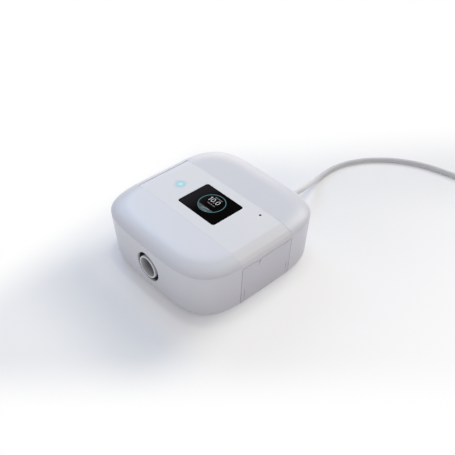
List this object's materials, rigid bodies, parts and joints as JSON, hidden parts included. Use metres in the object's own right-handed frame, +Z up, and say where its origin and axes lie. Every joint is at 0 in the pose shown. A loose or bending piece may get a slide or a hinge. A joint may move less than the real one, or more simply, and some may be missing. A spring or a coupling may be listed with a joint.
{
  "type": "cpap machine",
  "caption": "Compact bedside breathing-therapy unit: rounded-square case with a touch display, lit power button, round air outlet, side filter door, internal blower and a mains lead.",
  "frame": {"origin": "on the table under the middle of the case, feet included", "axes": "-Y towards the front with the air outlet, +Y towards the rear with the mains inlet, +X towards the side with the filter door, +Z up"},
  "size_m": [0.31, 0.3578, 0.058],
  "materials": {
    "case_white": "satin moulded, fine grain",
    "shell_white": "satin moulded, very fine grain",
    "panel_white": "fine matte",
    "soft_rubber": "matte",
    "steel": "bright",
    "black_glass": "polished",
    "board_green": "solder mask",
    "lens": "translucent, lit",
    "chip_black": "moulded",
    "outlet_plastic": "smooth",
    "silicone": "soft",
    "inner_plastic": "moulded",
    "impeller_plastic": "moulded",
    "copper_winding": "enamelled",
    "foam": "open-cell",
    "filter_frame_plastic": "moulded",
    "filter_blue": "coarse foam",
    "filter_white": "fine fibre",
    "ceramic": "moulded",
    "ribbon": "film",
    "wire_red": "insulated",
    "board_tan": "phenolic",
    "cap_blue": "sleeved",
    "heat_sink_alu": "extruded",
    "sheet_cream": "fibre",
    "wire_brown": "insulated",
    "cord_grey": "satin jacket",
    "plug_brass": "stamped"
  },
  "bodies": {
    "case": {"bottom_case": "case_white", "upper_shell": "shell_white", "top_panel": "panel_white", "rubber_feet": "soft_rubber", "case_screws": "steel", "display_glass": "black_glass", "display_module": "steel", "ui_board": "board_green", "button_switch": "chip_black", "light_sensor_lens": "black_glass", "outlet_tube": "outlet_plastic", "outlet_cup": "case_white", "outlet_coupling": "silicone", "blower_base": "inner_plastic", "blower_lid": "inner_plastic", "blower_dampers": "silicone", "motor_stator": "copper_winding", "motor_bearings": "steel", "intake_duct": "inner_plastic", "duct_foam": "foam", "filter_frame": "filter_frame_plastic", "pollen_filter": "filter_blue", "fine_filter": "filter_white", "main_board": "board_green", "processor_chips": "chip_black", "pressure_sensor": "ceramic", "pressure_tube": "silicone", "alarm_buzzer": "chip_black", "riser_board": "board_green", "memory_card_socket": "steel", "usb_port": "steel", "service_bezel": "case_white", "ribbon_cable": "ribbon", "motor_wires": "wire_red", "power_supply_board": "board_tan", "transformer": "chip_black", "bulk_capacitors": "cap_blue", "heat_sink": "heat_sink_alu", "mains_filter_coil": "copper_winding", "insulator_sheet": "sheet_cream", "inlet_wires": "wire_brown", "mains_inlet": "chip_black", "board_screws": "steel", "cord_connector": "cord_grey", "cord_strain_relief": "cord_grey", "cord_run": "cord_grey", "cord_coil": "cord_grey", "cord_tail": "cord_grey", "cord_tie": "soft_rubber", "plug_strain_relief": "cord_grey", "wall_plug": "cord_grey", "plug_blades": "plug_brass"},
    "button": {"power_button": "panel_white", "button_lens": "lens"},
    "door": {"side_door": "case_white"},
    "rotor": {"impeller": "impeller_plastic", "motor_rotor": "steel"},
    "card": {"memory_card": "chip_black"}
  },
  "joints": [
    {"name": "power_button_press", "type": "slide", "parent": "case", "child": "button", "axis": [0, 0, -1], "range_m": [0, 0.0007], "stiffness_N_per_m": 800, "springref_m": -0.001},
    {"name": "door_hinge", "type": "hinge", "parent": "case", "child": "door", "pos_m": [0.0705, 0, 0.0072], "axis": [0, 1, 0], "range_deg": [0, 90]},
    {"name": "impeller_spin", "type": "hinge", "parent": "case", "child": "rotor", "pos_m": [-0.025, 0, 0.025], "axis": [0, 0, 1], "continuous": true},
    {"name": "memory_card_slide", "type": "slide", "parent": "case", "child": "card", "axis": [1, 0, 0], "range_m": [0, 0.004]}
  ]
}
